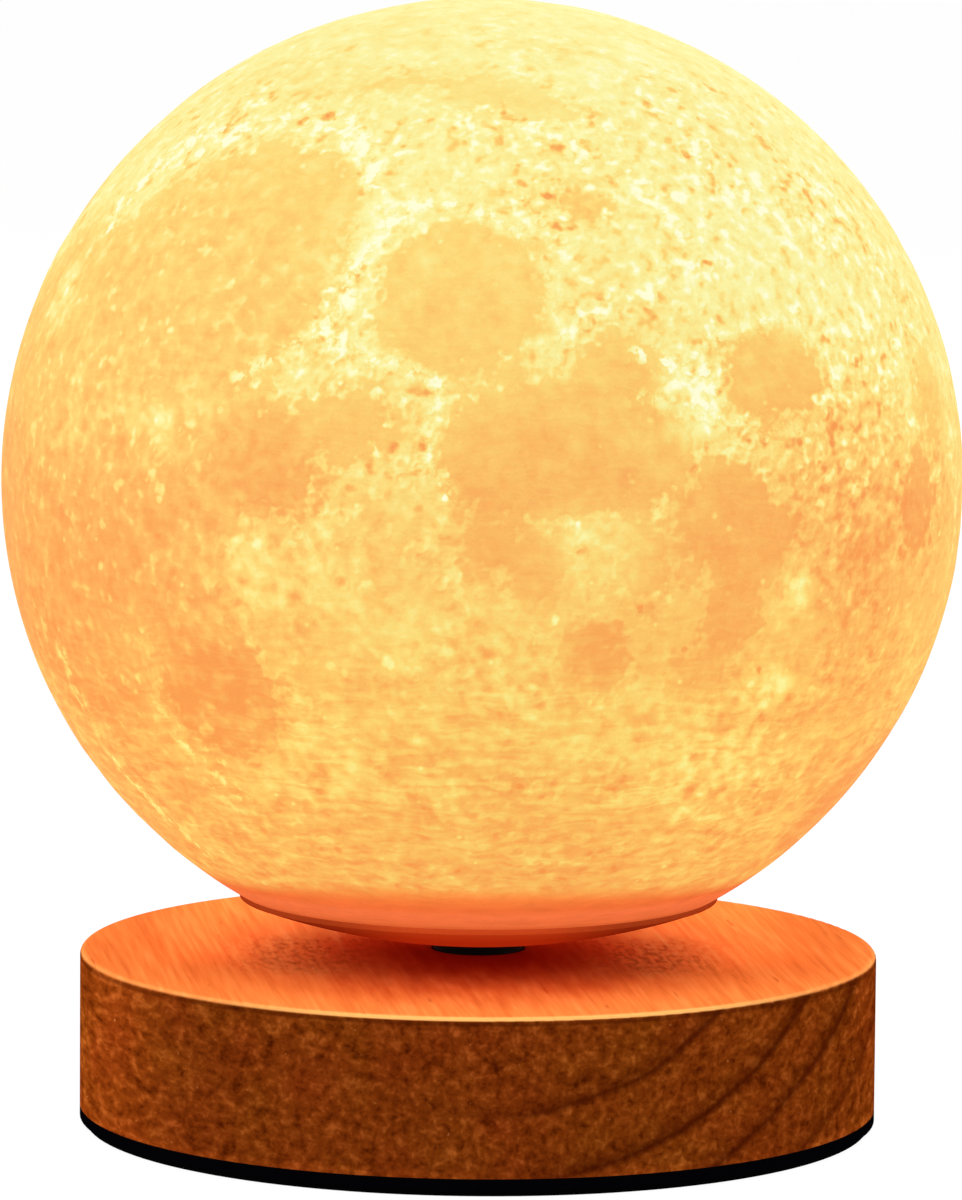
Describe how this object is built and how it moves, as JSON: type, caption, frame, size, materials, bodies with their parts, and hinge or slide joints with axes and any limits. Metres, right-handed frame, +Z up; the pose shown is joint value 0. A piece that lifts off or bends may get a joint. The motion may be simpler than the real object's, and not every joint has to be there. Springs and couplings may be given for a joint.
{
  "type": "moon lamp",
  "caption": "Rechargeable table lamp with a glowing printed moon that turns on a motor-driven spindle above a round wooden base.",
  "frame": {"origin": "middle of the footprint, on the surface that the lamp stands on", "axes": "+Z up along the spindle, +Y towards the ports at the back, +X to the right seen from the front"},
  "size_m": [0.15, 0.15, 0.1766],
  "materials": {
    "moon_print": "matte 3-D print with fine layer lines, lit from inside",
    "cap_print": "matte smooth print",
    "white_plastic": "satin moulded",
    "screw_steel": "bright zinc",
    "lamp_board": "white solder mask",
    "led_phosphor": "yellow phosphor",
    "lead_red": "smooth insulation",
    "lead_yellow": "smooth insulation",
    "lead_blue": "smooth insulation",
    "spindle_black": "satin black",
    "washer_plastic": "waxy low-friction plastic",
    "gear_plastic": "satin acetal",
    "spring_steel": "phosphated",
    "dark_plastic": "satin moulded",
    "base_wood": "oiled solid wood",
    "motor_metal": "zinc-plated can",
    "cell_sleeve": "shrink sleeve",
    "plate_black": "fine matte",
    "foot_rubber": "soft matte",
    "circuit_green": "solder mask",
    "socket_metal": "nickel-plated",
    "clear_pipe": "clear moulded",
    "button_grey": "satin moulded",
    "port_black": "fine matte"
  },
  "bodies": {
    "base": {"wood_base": "base_wood", "bottom_plate": "plate_black", "foot_ring": "foot_rubber", "plate_screws": "screw_steel", "chassis": "dark_plastic", "chassis_screws": "screw_steel", "thrust_washer": "washer_plastic", "slip_ring_body": "dark_plastic", "slip_ring_leads": "lead_yellow", "motor_gearbox": "white_plastic", "motor_can": "motor_metal", "motor_screws": "screw_steel", "motor_leads": "lead_blue", "battery_cell": "cell_sleeve", "battery_leads": "lead_red", "control_board": "circuit_green", "board_screws": "screw_steel", "usb_socket": "socket_metal", "light_switch": "dark_plastic", "turn_switch": "dark_plastic", "indicator_led": "white_plastic", "light_pipe": "clear_pipe", "port_plate": "port_black", "port_screws": "screw_steel"},
    "moon_head": {"moon_shell": "moon_print", "bottom_cap": "cap_print", "led_tray": "white_plastic", "tray_screws": "screw_steel", "led_board": "lamp_board", "led_chips": "led_phosphor", "led_board_screws": "screw_steel", "led_leads": "lead_red", "spindle": "spindle_black", "spindle_screws": "screw_steel", "spindle_gear": "gear_plastic", "spindle_clip": "spring_steel", "slip_ring_rotor": "dark_plastic"},
    "drive_pinion": {"motor_shaft": "motor_metal", "motor_pinion": "gear_plastic"},
    "light_key": {"light_button": "button_grey", "light_switch_plunger": "white_plastic"},
    "turn_key": {"turn_button": "button_grey", "turn_switch_plunger": "white_plastic"}
  },
  "joints": [
    {"name": "moon_turn", "type": "hinge", "parent": "base", "child": "moon_head", "pos_m": [0, 0, 0.02], "axis": [0, 0, 1], "continuous": true},
    {"name": "pinion_spin", "type": "hinge", "parent": "base", "child": "drive_pinion", "pos_m": [-0.0224, 0, 0.0172], "axis": [0, 0, 1], "continuous": true},
    {"name": "light_press", "type": "slide", "parent": "base", "child": "light_key", "axis": [0, -1, 0], "range_m": [0, 0.0006], "stiffness_N_per_m": 1500, "springref_m": -0.0003},
    {"name": "turn_press", "type": "slide", "parent": "base", "child": "turn_key", "axis": [0, -1, 0], "range_m": [0, 0.0006], "stiffness_N_per_m": 1500, "springref_m": -0.0003}
  ],
  "couplings": [
    {"joint": "pinion_spin", "follows": "moon_turn", "ratio": -3}
  ]
}
